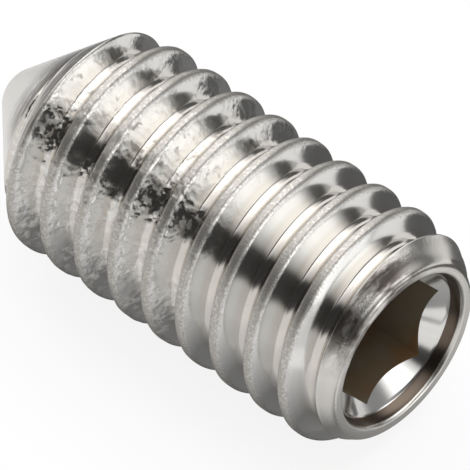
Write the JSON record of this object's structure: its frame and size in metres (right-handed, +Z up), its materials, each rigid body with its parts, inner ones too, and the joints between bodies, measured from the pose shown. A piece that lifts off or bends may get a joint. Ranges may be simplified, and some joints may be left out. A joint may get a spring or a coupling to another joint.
{
  "type": "cone point socket set screw",
  "caption": "Headless machine screw, threaded over its whole length, with a blunt cone point at one end and a countersunk hexagon socket at the other.",
  "frame": {"origin": "on the surface that the screw lies on, under the middle of its length", "axes": "+X along the screw's axis towards the socket end, +Z up from the surface"},
  "size_m": [0.0052, 0.0024, 0.0024],
  "materials": {
    "stainless_steel": "bright stainless steel as thread-rolled, with fine pits on the flanks"
  },
  "bodies": {
    "root": {"set_screw": "stainless_steel"}
  },
  "joints": []
}
